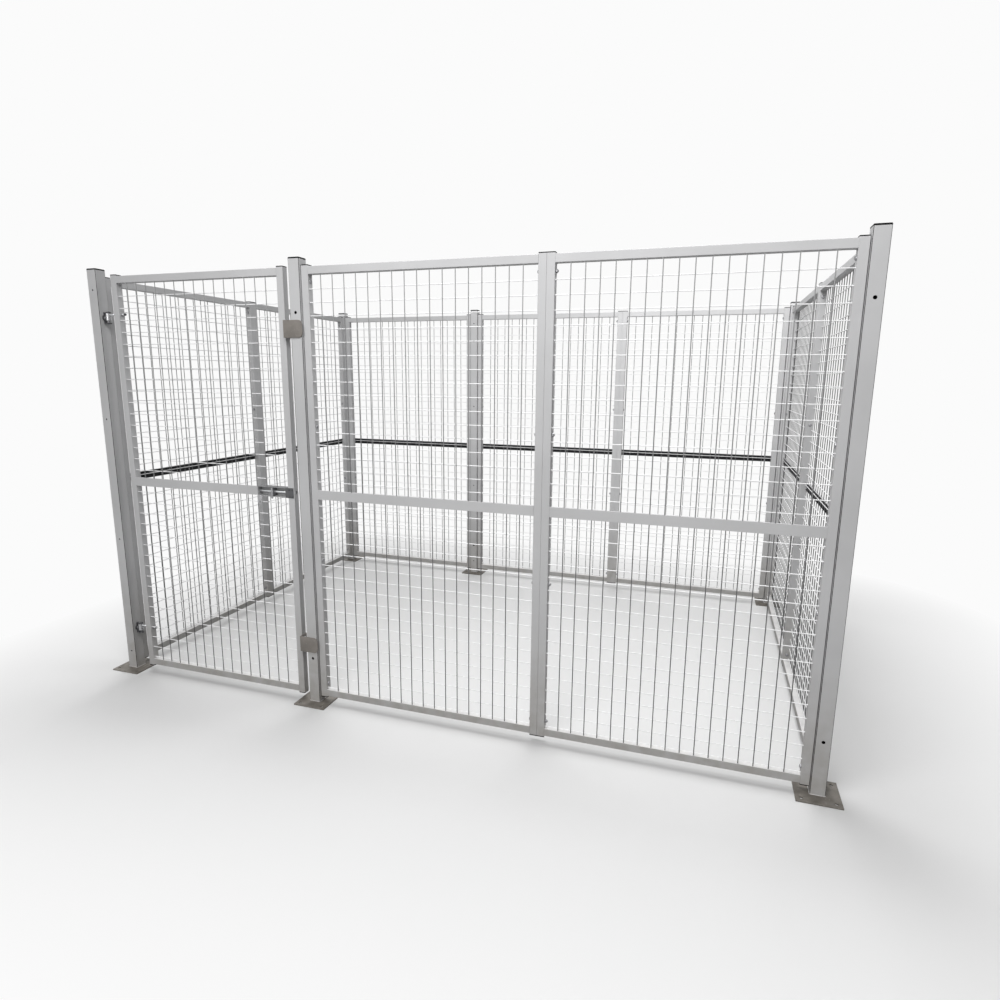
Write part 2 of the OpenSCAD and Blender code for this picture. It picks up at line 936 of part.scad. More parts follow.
panel_frame(5);  // panel_frame_6
panel_frame(6);  // panel_frame_7
panel_frame(7);  // panel_frame_8
panel_frame(8);  // panel_frame_9
panel_mesh(0);  // panel_mesh_1
panel_mesh(1);  // panel_mesh_2
panel_mesh(2);  // panel_mesh_3
panel_mesh(3);  // panel_mesh_4
panel_mesh(4);  // panel_mesh_5
panel_mesh(5);  // panel_mesh_6
panel_mesh(6);  // panel_mesh_7
panel_mesh(7);  // panel_mesh_8
panel_mesh(8);  // panel_mesh_9
mid_rails([0, 1]);  // mid_rails_front
mid_rails([2, 3]);  // mid_rails_right
mid_rails([4, 5, 6]);  // mid_rails_rear
mid_rails([7, 8]);  // mid_rails_left
stile_plugs();
panel_bolts();
panel_nuts();
panel_washers();
door_frame();
door_mesh();
door_mid_rail();
door_plugs();
hinge_brackets();
hinge_bracket_fasteners();
hinge_pins();
hinge_eye_bolts();
hinge_nuts();
stop_plates();
stop_plate_screws();
latch_housing();
latch_rivets();
padlock_ear();
latch_bolt();
latch_handle();
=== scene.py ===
"""Looks of the wire mesh enclosure: finishes, small fittings, welds, floor, light and camera.

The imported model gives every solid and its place. The finishes below are node materials in object
coordinates, so they stay on the metal when the door and the slide bolt move.
"""
import json
import math

import bmesh
import bpy
from mathutils import Matrix, Vector


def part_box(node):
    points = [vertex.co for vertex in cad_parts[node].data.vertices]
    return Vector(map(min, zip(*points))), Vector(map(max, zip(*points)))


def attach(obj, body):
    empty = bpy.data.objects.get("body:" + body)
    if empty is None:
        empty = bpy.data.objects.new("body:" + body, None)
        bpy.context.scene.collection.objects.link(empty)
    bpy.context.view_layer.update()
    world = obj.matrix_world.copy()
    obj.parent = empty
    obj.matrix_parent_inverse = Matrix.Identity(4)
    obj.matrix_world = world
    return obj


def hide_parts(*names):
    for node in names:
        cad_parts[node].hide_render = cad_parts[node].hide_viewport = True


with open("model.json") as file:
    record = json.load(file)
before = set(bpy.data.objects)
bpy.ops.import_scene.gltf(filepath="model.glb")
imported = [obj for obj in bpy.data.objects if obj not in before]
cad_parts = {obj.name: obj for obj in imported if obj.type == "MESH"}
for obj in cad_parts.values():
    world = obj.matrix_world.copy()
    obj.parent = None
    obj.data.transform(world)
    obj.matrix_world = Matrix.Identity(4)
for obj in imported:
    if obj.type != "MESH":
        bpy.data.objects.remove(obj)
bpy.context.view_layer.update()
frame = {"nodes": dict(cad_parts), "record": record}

MM = 0.001
NODES = frame["nodes"]
POST_NAMES = ("hinge", "latch", "front_right", "rear_left", "rear_middle", "rear_right")
WALLS = ("front", "right", "rear", "left")
PANELS = range(1, 10)


# ---------- node materials ----------

# the values between which most of a noise lies
NOISE_SPAN = (0.3, 0.7)


class Finish:
    """A material with one principled shader and short ways to feed it."""

    def __init__(self, name, metallic=0.0, specular=0.5):
        self.material = bpy.data.materials.new(name)
        self.material.use_nodes = True
        self.tree = self.material.node_tree
        self.tree.nodes.clear()
        self.shader = self.add("ShaderNodeBsdfPrincipled")
        self.shader.inputs["Metallic"].default_value = metallic
        self.shader.inputs["Specular IOR Level"].default_value = specular
        self.output = self.add("ShaderNodeOutputMaterial")
        self.link(self.shader.outputs["BSDF"], self.output.inputs["Surface"])
        self.coordinates = self.add("ShaderNodeTexCoord")
        self.place = self.coordinates.outputs["Object"]

    def add(self, kind, **settings):
        node = self.tree.nodes.new(kind)
        for key, value in settings.items():
            setattr(node, key, value)
        return node

    def link(self, source, target):
        self.tree.links.new(source, target)

    def feed(self, socket, value):
        """Links an output to a socket, or sets the socket to a number."""
        if isinstance(value, bpy.types.NodeSocket):
            self.link(value, socket)
        else:
            socket.default_value = value

    def math(self, operation, first, second=0.0):
        node = self.add("ShaderNodeMath", operation=operation)
        self.feed(node.inputs[0], first)
        self.feed(node.inputs[1], second)
        return node.outputs[0]

    def noise(self, size, detail=3.0, stretch=(1.0, 1.0, 1.0)):
        """Noise whose patches measure about size metres."""
        mapping = self.add("ShaderNodeMapping")
        mapping.inputs["Scale"].default_value = stretch
        self.link(self.place, mapping.inputs["Vector"])
        node = self.add("ShaderNodeTexNoise")
        self.link(mapping.outputs["Vector"], node.inputs["Vector"])
        node.inputs["Scale"].default_value = 1.0 / size
        node.inputs["Detail"].default_value = detail
        return node.outputs["Fac"]

    def ramp(self, source, low, high, start=0.0, end=1.0):
        """Maps a number linearly from start..end to low..high, held at both ends."""
        node = self.add("ShaderNodeMapRange")
        for key, value in (("From Min", start), ("From Max", end), ("To Min", low), ("To Max", high)):
            node.inputs[key].default_value = value
        self.link(source, node.inputs["Value"])
        return node.outputs["Result"]

    def mix(self, factor, first, second):
        """Mixes two colours, each a triple or an output."""
        node = self.add("ShaderNodeMix", data_type="RGBA")
        self.feed(node.inputs["Factor"], factor)
        for socket, colour in ((node.inputs["A"], first), (node.inputs["B"], second)):
            self.feed(socket, colour if isinstance(colour, bpy.types.NodeSocket) else (*colour, 1.0))
        return node.outputs["Result"]

    def bump(self, height, depth):
        """Bump from a height output, depth metres from low to high."""
        node = self.add("ShaderNodeBump")
        node.inputs["Distance"].default_value = depth
        node.inputs["Strength"].default_value = 1.0
        self.link(height, node.inputs["Height"])
        self.link(node.outputs["Normal"], self.shader.inputs["Normal"])

    def axis(self, name, kind="Object"):
        """One part of the object coordinates, or of the surface's normal in them."""
        node = self.add("ShaderNodeSeparateXYZ")
        self.link(self.coordinates.outputs[kind], node.inputs["Vector"])
        return node.outputs[name]

    def off_centre(self, name, middle=None):
        """Distance of an object coordinate from zero, or from the value middle."""
        along = self.axis(name)
        if middle is not None:
            along = self.math("SUBTRACT", along, middle)
        return self.math("ABSOLUTE", along)

    def between(self, name, low, high):
        """1 where an object coordinate lies between two values, 0 elsewhere."""
        above = self.math("GREATER_THAN", self.axis(name), low)
        below = self.math("LESS_THAN", self.axis(name), high)
        return self.math("MULTIPLY", above, below)

    def colour(self, value):
        self.feed(self.shader.inputs["Base Color"], value)

    def painted(self):
        """The output that feeds the shader's colour so far."""
        return self.shader.inputs["Base Color"].links[0].from_socket

    def roughness(self, value):
        self.feed(self.shader.inputs["Roughness"], value)


def scaled(colour, factor):
    return tuple(c * factor for c in colour)


def powder_coat(name, colour, spread=0.05, rough=0.5):
    """Baked coat: orange peel, cloudy gloss and a slight drift of the colour."""
    drift_size, cloud_size, peel_size = 0.22, 0.03, 1.5 * MM
    gloss_drift, peel_depth = 0.07, 0.02 * MM
    finish = Finish(name, specular=0.15)
    pale = tuple(min(1.0, c * (1 + spread)) for c in colour)
    deep = scaled(colour, 1 - spread)
    drift = finish.ramp(finish.noise(drift_size, detail=4.0), 0.0, 1.0, *NOISE_SPAN)
    finish.colour(finish.mix(drift, deep, pale))
    clouds = finish.noise(cloud_size)
    finish.roughness(finish.ramp(clouds, rough - gloss_drift, rough + gloss_drift, *NOISE_SPAN))
    finish.bump(finish.noise(peel_size, detail=2.0), peel_depth)
    return finish


def dust_and_shade_coat(name, colour):
    """Powder coat with floor dust that thins out upwards to a set height, and that also paints
    light and shade low down. On upright faces the dust is rubbed in and dark, a painted shade;
    on level faces it settles pale, a painted light."""
    most_dust_and_shade, least_patch, patch_size, level_normal = 0.95, 0.55, 0.05, 0.7
    finish = powder_coat(name, colour)
    clean = finish.painted()
    height = finish.ramp(finish.axis("Z"), most_dust_and_shade, 0.0, 0.0, DUST_AND_SHADE_REACH)
    patches = finish.noise(patch_size, detail=4.0)
    patches = finish.ramp(patches, least_patch, 1.0, start=0.35, end=0.65)
    # painted light and shade: near the floor, level faces get pale dust and upright faces dark dust
    level = finish.math("GREATER_THAN", finish.axis("Z", "Normal"), level_normal)
    dust_light_and_shade = finish.mix(level, RUBBED_DUST_AND_SHADE, SETTLED_DUST_AND_LIGHT)
    finish.colour(finish.mix(finish.math("MULTIPLY", height, patches), clean, dust_light_and_shade))
    return finish


def post_coat(name, colour, low, high):
    """Dust and shade coat outside, and painted shade, near black, inside the tube, whose hollow lies
    between two corners.
    """
    finish = dust_and_shade_coat(name, colour)
    outer = finish.painted()
    across = finish.between("X", low.x, high.x)
    along = finish.between("Y", low.y, high.y)
    hollow = finish.math("MULTIPLY", across, along)
    # painted shade: the tube's hollow is near black
    tube_shade = finish.mix(finish.noise(0.02), TUBE_SHADE, scaled(TUBE_SHADE, 2))
    finish.colour(finish.mix(hollow, outer, tube_shade))
    return finish


def post_coats(colour):
    """A coat for each post, with painted shade, near black, inside that post's tube."""
    # all that lies deeper than this below the outer faces counts as inside
    skin = Vector((0.3 * MM, 0.3 * MM, 0.0))
    coats = {}
    for post in POST_NAMES:
        low, high = map(Vector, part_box("post_" + post))
        coats[post] = post_coat("coat_" + post, colour, low + skin, high - skin)
    return coats


def plated_steel(name, colour, rough=0.38):
    """Zinc plate: fine crystals and a faint drift of tone."""
    crystal_size, haze_size = 1.2 * MM, 6 * MM
    grain_size, grain_depth = 0.5 * MM, 0.01 * MM
    finish = Finish(name, metallic=0.85)
    crystals = finish.add("ShaderNodeTexVoronoi")
    crystals.inputs["Scale"].default_value = 1.0 / crystal_size
    finish.link(finish.place, crystals.inputs["Vector"])
    finish.colour(finish.mix(crystals.outputs["Distance"], colour, scaled(colour, 0.86)))
    haze = finish.noise(haze_size)
    finish.roughness(finish.ramp(haze, rough - 0.08, rough + 0.1, *NOISE_SPAN))
    finish.bump(finish.noise(grain_size, detail=2.0), grain_depth)
    return finish


def worn_plate(name, colour, deep, pale):
    """Dull coat over hot-rolled sheet: mill clouds, scuffs and fine pits."""
    cloud_size, scuff_size, scuff_stretch = 0.05, 0.008, (1.0, 0.2, 1.0)
    pit_size, pit_depth = 1.5 * MM, 0.05 * MM
    finish = Finish(name, specular=0.35)
    clouds = finish.ramp(finish.noise(cloud_size, detail=6.0), 0.0, 1.0, 0.35, 0.68)
    scuffs = finish.ramp(finish.noise(scuff_size, 4.0, scuff_stretch), 0.0, 1.0, 0.62, 0.72)
    base = finish.mix(clouds, deep, colour)
    finish.colour(finish.mix(scuffs, base, pale))
    finish.roughness(finish.ramp(clouds, 0.62, 0.5))
    finish.bump(finish.noise(pit_size, detail=5.0), pit_depth)
    return finish


def moulded_plastic(name, colour):
    """Black moulding with a fine spark-eroded grain."""
    cloud_size, gloss_size = 0.012, 0.004
    grain_size, grain_depth = 0.35 * MM, 0.02 * MM
    finish = Finish(name, specular=0.12)
    clouds = finish.ramp(finish.noise(cloud_size), 0.0, 1.0, start=0.4, end=0.7)
    finish.colour(finish.mix(clouds, colour, scaled(colour, 1.5)))
    finish.roughness(finish.ramp(finish.noise(gloss_size), 0.6, 0.72, *NOISE_SPAN))
    finish.bump(finish.noise(grain_size, detail=2.0), grain_depth)
    return finish


def wire_coat(name, plane_y, plane_x):
    """Coat of welded mesh with painted light and shade. The upright wires lie outside the planes
    plane_y and plane_x, measured from the middle of the plan; they are painted dark as shade, darker
    from front to rear and towards the floor. The level wires lie inside the planes and are painted
    pale as light from above."""
    front_y, rear_y = -0.9, 0.9
    foot_z, clear_z = 0.5, 1.75
    # painted shade: the upright wires are darker than the frame's coat
    finish = powder_coat(name, UPRIGHT_SHADE_GREY, spread=0.04, rough=0.42)
    near = finish.painted()
    # painted shade: darker towards the rear wall and towards the floor
    depth = finish.ramp(finish.axis("Y"), 0.0, 1.0, front_y, rear_y)
    along = finish.mix(depth, near, REAR_UPRIGHT_SHADE_GREY)
    floor_shade = finish.ramp(finish.axis("Z"), 1.0, 0.0, foot_z, clear_z)
    upright = finish.mix(floor_shade, along, FOOT_SHADE_GREY)
    beyond_y = finish.math("GREATER_THAN", finish.off_centre("Y"), plane_y)
    beyond_x = finish.math("GREATER_THAN", finish.off_centre("X"), plane_x)
    # painted light: the level wires are pale, as if lit from above
    level = finish.mix(finish.noise(0.02), LEVEL_LIGHT_GREY, scaled(LEVEL_LIGHT_GREY, 0.94))
    finish.colour(finish.mix(finish.math("MAXIMUM", beyond_y, beyond_x), level, upright))
    return finish


def housing_coat(name, colour, lit_inside, box):
    """Dark coat of the latch housing, with painted light: the inside of the trough is paler, to lift
    its shade.
    """
    finish = powder_coat(name, colour, spread=0.08, rough=0.42)
    coat = finish.painted()
    low, high = map(Vector, box)
    skin = 0.5 * MM
    deep = finish.between("Y", low.y + 2 * skin, high.y - skin)
    tall = finish.between("Z", low.z + skin, high.z - skin)
    hollow = finish.math("MULTIPLY", deep, tall)
    # painted light: the trough's inside is paler than the coat outside
    lit_hollow = finish.mix(finish.noise(0.006, detail=4.0), lit_inside, scaled(lit_inside, 0.8))
    finish.colour(finish.mix(hollow, coat, lit_hollow))
    return finish


def channel_coat(name, colour, inside_shade):
    """Coat of the mid rail channels, with painted shade, near black, inside them. The inside lies
    nearer to the middle of the plan than the web, and between the flanges."""
    # both limits lie a little way into the metal, so that its inner faces count as inside
    flange_z = 17.2 * MM
    web = CHANNEL_SHEET - 0.1 * MM
    finish = powder_coat(name, colour)
    coat = finish.painted()
    inside_y = finish.math("LESS_THAN", finish.off_centre("Y"), FRONT_FACE - web)
    inside_x = finish.math("LESS_THAN", finish.off_centre("X"), RIGHT_FACE - web)
    inside_z = finish.math("LESS_THAN", finish.off_centre("Z", RAIL_Z), flange_z)
    inside = finish.math("MULTIPLY", finish.math("MULTIPLY", inside_y, inside_x), inside_z)
    # painted shade: near black inside the channel
    cloud = finish.mix(finish.noise(0.02), inside_shade, scaled(inside_shade, 2))
    finish.colour(finish.mix(inside, coat, cloud))
    return finish


GREY = (0.52, 0.52, 0.525)
# painted shade inside the post tubes
TUBE_SHADE = (0.004, 0.004, 0.004)
# painted shade inside the mid rail channels
CHANNEL_SHADE = (0.006, 0.006, 0.007)
# painted shade on the upright wires, deeper to the rear and by the floor, and painted light on the
# level wires
UPRIGHT_SHADE_GREY = (0.34, 0.34, 0.343)
REAR_UPRIGHT_SHADE_GREY = (0.19, 0.19, 0.192)
FOOT_SHADE_GREY = (0.12, 0.12, 0.122)
LEVEL_LIGHT_GREY = (0.90, 0.90, 0.905)
# floor dust colours, dark on upright faces as painted shade, pale on level faces as painted light
RUBBED_DUST_AND_SHADE = (0.35, 0.335, 0.315)
SETTLED_DUST_AND_LIGHT = (0.80, 0.79, 0.78)
DUST_AND_SHADE_REACH = 0.5
PLATE_BROWNS = ((0.22, 0.203, 0.18), (0.13, 0.119, 0.103), (0.29, 0.272, 0.245))
STOP_BROWNS = ((0.225, 0.205, 0.187), (0.18, 0.165, 0.149), (0.27, 0.25, 0.232))
# the housing's coat, and the paler inside of its trough, a painted light
HOUSING_GREYS_WITH_LIT_INSIDE = ((0.115, 0.115, 0.12), (0.42, 0.42, 0.425))

# outer faces of the mid rails in the front and right walls, from the middle of the plan
FRONT_FACE = abs(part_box("mid_rails_front")[0][1])
RIGHT_FACE = abs(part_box("mid_rails_right")[1][0])
RAIL_Z = sum(corner.z for corner in map(Vector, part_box("door_mid_rail"))) / 2
CHANNEL_SHEET = 2 * MM
# depth below those faces at which the upright wires lie on the level wires
WIRE_SPLIT = 5.575 * MM

COAT = dust_and_shade_coat("frame_coat", GREY)
POST_COATS = post_coats(GREY)
WIRE_COAT = wire_coat("wire_coat", FRONT_FACE - WIRE_SPLIT, RIGHT_FACE - WIRE_SPLIT)
RAIL_COAT = channel_coat("mid_rail_coat", GREY, CHANNEL_SHADE)
PLATE = worn_plate("base_plate_coat", *PLATE_BROWNS)
STOP = worn_plate("stop_plate_coat", *STOP_BROWNS)
PLASTIC = moulded_plastic("black_plastic", (0.006, 0.006, 0.006))
DARK = powder_coat("dark_coat", (0.09, 0.09, 0.095), spread=0.12, rough=0.42)
HOUSING = housing_coat("housing_coat", *HOUSING_GREYS_WITH_LIT_INSIDE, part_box("latch_housing"))
ZINC = plated_steel("zinc_plate", (0.62, 0.63, 0.64))
BOLT_ZINC = plated_steel("bolt_zinc", (0.30, 0.30, 0.31), rough=0.42)
EYE = plated_steel("eye_zinc", (0.40, 0.40, 0.41), rough=0.28)
PIN = plated_steel("pin_steel", (0.16, 0.16, 0.165), rough=0.3)


def dress(node, finish):
    """Gives a CAD node its finish."""
    slots = NODES[node].material_slots
    for slot in slots:
        slot.material = finish.material
    if not slots:
        NODES[node].data.materials.append(finish.material)


# ---------- mesh tools ----------

# points on every ring of a turned shape
ROUND = 24


def ring_angles():
    return [2 * math.pi * i / ROUND for i in range(ROUND)]


def circle(radius):
    return [(radius * math.cos(a), radius * math.sin(a)) for a in ring_angles()]


def hexagon(across):
    """Points on a hexagon of that width over its flats, as many as on a circle."""
    points = []
    for a in ring_angles():
        off_flat = (a + math.pi / 6) % (math.pi / 3) - math.pi / 6
        reach = across / 2 / math.cos(off_flat)
        points.append((reach * math.cos(a), reach * math.sin(a)))
    return points


def loft(mesh, rings, place, closed=False):
    """Joins rings of (points, height) around the local Z axis of place.
    A ring without points is one point on the axis; closed joins the last ring to the first."""
    made = []
    for points, height in rings:
        if points is None:
            made.append([mesh.verts.new(place @ Vector((0, 0, height)))])
        else:
            made.append([mesh.verts.new(place @ Vector((x, y, height))) for x, y in points])
    pairs = list(zip(made, made[1:]))
    if closed:
        pairs.append((made[-1], made[0]))
    for low, high in pairs:
        for i in range(ROUND):
            j = (i + 1) % ROUND
            corners = [low[i % len(low)], low[j % len(low)], high[j % len(high)], high[i % len(high)]]
            # a corner on the axis comes twice, and once is enough
            mesh.faces.new(list(dict.fromkeys(corners)))


def aim(point, direction):
    """Matrix that puts the local origin at a point with its Z axis along a direction."""
    turn = Vector(direction).to_track_quat("Z", "Y").to_matrix().to_4x4()
    return Matrix.Translation(Vector(point)) @ turn


def unit(axis, sign):
    direction = Vector((0, 0, 0))
    direction[axis] = sign
    return direction


def add_object(name, data):
    thing = bpy.data.objects.new(name, data)
    bpy.context.scene.collection.objects.link(thing)
    return thing


def finish_piece(mesh, name, body, finish, smooth_angle):
    """Makes an object from a bmesh and hangs it on its body. Its edges stay sharp where they
    turn by more than smooth_angle degrees."""
    bmesh.ops.recalc_face_normals(mesh, faces=mesh.faces)
    data = bpy.data.meshes.new(name)
    mesh.to_mesh(data)
    mesh.free()
    piece = add_object(name, data)
    data.materials.append(finish.material)
    data.shade_smooth()
    data.set_sharp_from_angle(angle=math.radians(smooth_angle))
    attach(piece, body)
    return piece


def body_of_node(node):
    bodies = frame["record"]["behaviour"]["bodies"]
    return next(body for body, nodes in bodies.items() if node in nodes)


def stand_in(mesh, name, node, finish, smooth_angle=40):
    """Makes a piece that rides on a CAD node's body and replaces the node."""
    piece = finish_piece(mesh, name, body_of_node(node), finish, smooth_angle)
    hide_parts(node)


def welded_mesh(node):
    """A copy of a CAD node's mesh with its doubled corners joined."""
    mesh = bmesh.new()
    source = NODES[node]
    mesh.from_mesh(source.data)
    mesh.transform(source.matrix_world)
    bmesh.ops.remove_doubles(mesh, verts=mesh.verts, dist=0.002 * MM)
    return mesh


def solids(node):
    """The corner points of each separate solid in a CAD node."""
    mesh = welded_mesh(node)
    groups = []
    seen = set()
    for first in mesh.verts:
        if first in seen:
            continue
        seen.add(first)
        group, queue = [], [first]
        while queue:
            vert = queue.pop()
            group.append(vert.co.copy())
            for edge in vert.link_edges:
                other = edge.other_vert(vert)
                if other not in seen:
                    seen.add(other)
                    queue.append(other)
        groups.append(group)
    mesh.free()
    return groups


def extent(points):
    low = Vector([min(p[i] for p in points) for i in range(3)])
    high = Vector([max(p[i] for p in points) for i in range(3)])
    return low, high


def long_axis(points):
    low, high = extent(points)
    size = high - low
    return max(range(3), key=lambda i: size[i])


def short_axis(points):
    low, high = extent(points)
    size = high - low
    return min(range(3), key=lambda i: size[i])


def off_axis(point, axis, centre):
    """Distance of a point from the line along an axis through centre."""
    return math.hypot(*[point[i] - centre[i] for i in range(3) if i != axis])


def widths(points, axis, centre):
    """Greatest distance from the axis at each height along it, as {height: radius}."""
    levels = {}
    for p in points:
        # heights within 0.01 mm of each other count as one
        key = round(p[axis], 5)
        levels[key] = max(levels.get(key, 0.0), off_axis(p, axis, centre))
    return levels


def soften(node, finish, width):
    """Replaces a CAD node by a copy of itself with small rounded edges."""
    mesh = welded_mesh(node)
    bmesh.ops.dissolve_limit(
        mesh, angle_limit=math.radians(1), verts=mesh.verts, edges=mesh.edges,
    )
    sharp = [e for e in mesh.edges if e.is_manifold and e.calc_face_angle(0) > math.radians(30)]
    bmesh.ops.bevel(
        mesh, geom=sharp, offset=width, segments=2, affect="EDGES", profile=0.6,
        clamp_overlap=True,
    )
    stand_in(mesh, node + "_soft", node, finish)


# ---------- fasteners ----------

THREAD_PITCH = 1.25 * MM
THREAD_LEAD = 0.6 * MM
# a shape counts as wide where it reaches this share of its greatest radius
WIDE = 0.98


def thread(radius, start, end):
    """Rings of a screw thread between two heights, start below end, with a tapered start."""
    tip, root = radius * 0.8, radius * 0.9
    first = start + THREAD_LEAD
    rings = [(circle(tip), start), (circle(radius), first)]
    turns = max(1, int((end - start - THREAD_LEAD) / THREAD_PITCH))
    for i in range(turns):
        z = first + i * THREAD_PITCH
        rings.append((circle(root), z + 0.45 * THREAD_PITCH))
        rings.append((circle(radius), z + 0.9 * THREAD_PITCH))
    return rings


def dome(radius, height, flat):
    """Rings of a dome from its rim to its level top. flat is the share of the radius that the
    curve leaves out."""
    steps = 4
    last = math.radians(70)
    rings = []
    for i in range(1, steps + 1):
        a = last * i / steps
        reach = radius * (flat + (1 - flat) * math.cos(a))
        rings.append((circle(reach), height * math.sin(a) / math.sin(last)))
    return rings


def button_bolt(mesh, place, radius, length, head_radius, head_height, socket=True):
    """Button head with a hexagon socket above the local origin, threaded shank below."""
    thread_end, neck = -0.35 * length, -0.3 * length
    rim = 0.18 * head_height
    rings = [(None, -length)] + thread(radius, -length, thread_end)
    rings += [(circle(radius), neck), (circle(radius), 0.0)]
    rings += [(circle(head_radius * 0.97), 0.0), (circle(head_radius), 0.25 * MM)]
    rings.append((circle(head_radius), rim))
    for points, height in dome(head_radius, head_height - rim, 0.35):
        rings.append((points, rim + height))
    if socket:
        across = head_radius * 0.62
        rings.append((hexagon(across), head_height))
        rings.append((hexagon(across), head_height * 0.45))
        rings.append((None, head_height * 0.35))
    else:
        rings.append((None, head_height))
    loft(mesh, rings, place)


def hex_nut(mesh, place, across, height, bore):
    """Nut with chamfered corners, its bottom at the local origin."""
    flat = across / 2 * 0.96
    chamfer = 0.09 * across
    mouth = bore * 1.1
    rings = [
        (circle(bore), 0.0), (circle(flat), 0.0), (hexagon(across), chamfer),
        (hexagon(across), height - chamfer), (circle(flat), height), (circle(mouth), height),
        (circle(bore), height - 0.5 * MM),
    ]
    loft(mesh, rings, place, closed=True)


def bolt_frame(points):
    """Place of a headed solid, its head up, with the radius and length of its shank and the
    radius and height of its head."""
    axis = long_axis(points)
    low, high = extent(points)
    centre = (low + high) / 2
    levels = widths(points, axis, centre)
    heights = sorted(levels)
    sign = 1 if levels[heights[-1]] > levels[heights[0]] * 1.05 else -1
    # the head's underside is the nearest height to the tail at which the solid is wide
    widest = max(levels.values())
    order = heights if sign > 0 else heights[::-1]
    seat = next(h for h in order if levels[h] > WIDE * widest)
    foot, top = order[0], order[-1]
    point = centre.copy()
    point[axis] = seat
    return aim(point, unit(axis, sign)), levels[foot], abs(seat - foot), widest, abs(top - seat)


def dress_bolts(node, name, finish, socket=True):
    """Replaces a node of plain headed bolts by bolts with threads and sockets."""
    mesh = bmesh.new()
    for points in solids(node):
        place, shank, length, head, rise = bolt_frame(points)
        button_bolt(mesh, place, shank, length, head, rise, socket)
    stand_in(mesh, name, node, finish, smooth_angle=35)


def dress_nuts(node, name, finish):
    """Replaces a node of plain hexagonal nuts by chamfered ones."""
    mesh = bmesh.new()
    for points in solids(node):
        axis = short_axis(points)
        low, high = extent(points)
        size = high - low
        centre = (low + high) / 2
        foot = centre.copy()
        foot[axis] = low[axis]
        across = min(size[i] for i in range(3) if i != axis)
        bore = min(off_axis(p, axis, centre) for p in points)
        hex_nut(mesh, aim(foot, unit(axis, 1)), across, size[axis], bore)
    stand_in(mesh, name, node, finish, smooth_angle=25)


# ---------- hinges and slide bolt ----------

def dress_hinge_pins():
    """Turned pins with a rounded head and a chamfered tail."""
    mesh = bmesh.new()
    for points in solids("hinge_pins"):
        low, high = extent(points)
        centre = (low + high) / 2
        levels = widths(points, 2, centre)
        radius = levels[min(levels)]
        head = max(levels.values())
        seat = min(h for h in levels if levels[h] > WIDE * head)
        foot = Vector((centre.x, centre.y, low.z))
        tall = high.z - low.z
        rise = seat - low.z
        cap = tall - rise
        rings = [
            (None, 0.0), (circle(radius * 0.75), 0.0), (circle(radius), 1.2 * MM),
            (circle(radius), rise), (circle(head), rise), (circle(head), rise + 0.4 * cap),
            (circle(head * 0.9), rise + 0.8 * cap), (circle(head * 0.6), tall), (None, tall),
        ]
        loft(mesh, rings, aim(foot, unit(2, 1)))
    stand_in(mesh, "hinge_pins_turned", "hinge_pins", PIN)


def barrel_eye(mesh, foot, outer, bore, tall):
    """Upright barrel with softened rims, its bottom at the point foot."""
    soft = 1.2 * MM
    rings = [
        (circle(bore), 0.0), (circle(outer - soft), 0.0), (circle(outer), soft),
        (circle(outer), tall - soft), (circle(outer - soft), tall), (circle(bore), tall),
    ]
    loft(mesh, rings, aim(foot, unit(2, 1)), closed=True)


def eye_shank(mesh, start, radius, length, outer):
    """Level shank whose root goes a millimetre into the eye's wall, threaded at its end."""
    thread_end = -0.28 * length
    root = -outer + MM
    rings = [(None, -length)] + thread(radius, -length, thread_end)
    rings += [(circle(radius), thread_end + MM), (circle(radius), root), (None, root)]
    loft(mesh, rings, aim(start, unit(0, -1)))


def dress_eye_bolts():
    """Barrel eyes around the pins, on shanks that are threaded where the nuts sit."""
    eyes, shanks = bmesh.new(), bmesh.new()
    pins = [extent(points) for points in solids("hinge_pins")]
    for points in solids("hinge_eye_bolts"):
        low, high = extent(points)
        pin = min(pins, key=lambda p: abs((p[0].z + p[1].z) / 2 - (low.z + high.z) / 2))
        axis_x = (pin[0].x + pin[1].x) / 2
        axis_y = (pin[0].y + pin[1].y) / 2
        outer = axis_x - low.x
        bore = min(math.hypot(p.x - axis_x, p.y - axis_y) for p in points)
        barrel_eye(eyes, (axis_x, axis_y, low.z), outer, bore, high.z - low.z)
        shank_low, shank_high = extent([p for p in points if p.x > axis_x + 2 * outer])
        radius = (shank_high.y - shank_low.y) / 2
        start = (axis_x, axis_y, (shank_low.z + shank_high.z) / 2)
        eye_shank(shanks, start, radius, high.x - axis_x, outer)
    stand_in(eyes, "hinge_eyes", "hinge_eye_bolts", EYE, smooth_angle=30)
    stand_in(shanks, "eye_bolt_shanks", "hinge_eye_bolts", ZINC, smooth_angle=30)


def cap_nut(mesh, place, outer, bore, height):
    """Round nut with a domed closed end, its open end at the local origin."""
    rings = [
        (circle(bore), 0.0), (circle(outer * 0.94), 0.0), (circle(outer), 0.6 * MM),
        (circle(outer), height * 0.6), (circle(outer * 0.93), height * 0.75),
        (circle(outer * 0.72), height * 0.9), (circle(outer * 0.35), height * 0.98),
        (None, height),
    ]
    loft(mesh, rings, place)


def dress_hinge_nuts():
    """Chamfered lock nuts at the stile and dark domed cap nuts on the shanks' ends."""
    nuts, caps = bmesh.new(), bmesh.new()
    for points in solids("hinge_nuts"):
        low, high = extent(points)
        centre = (low + high) / 2
        place = aim((low.x, centre.y, centre.z), unit(0, 1))
        size = high - low
        radii = [off_axis(p, 0, centre) for p in points]
        if size.y > size.x * 2:
            hex_nut(nuts, place, min(size.y, size.z), size.x, min(radii))
        else:
            cap_nut(caps, place, max(radii), min(radii), size.x)
    stand_in(nuts, "hinge_lock_nuts", "hinge_nuts", BOLT_ZINC, smooth_angle=25)
    stand_in(caps, "hinge_cap_nuts", "hinge_nuts", DARK, smooth_angle=25)


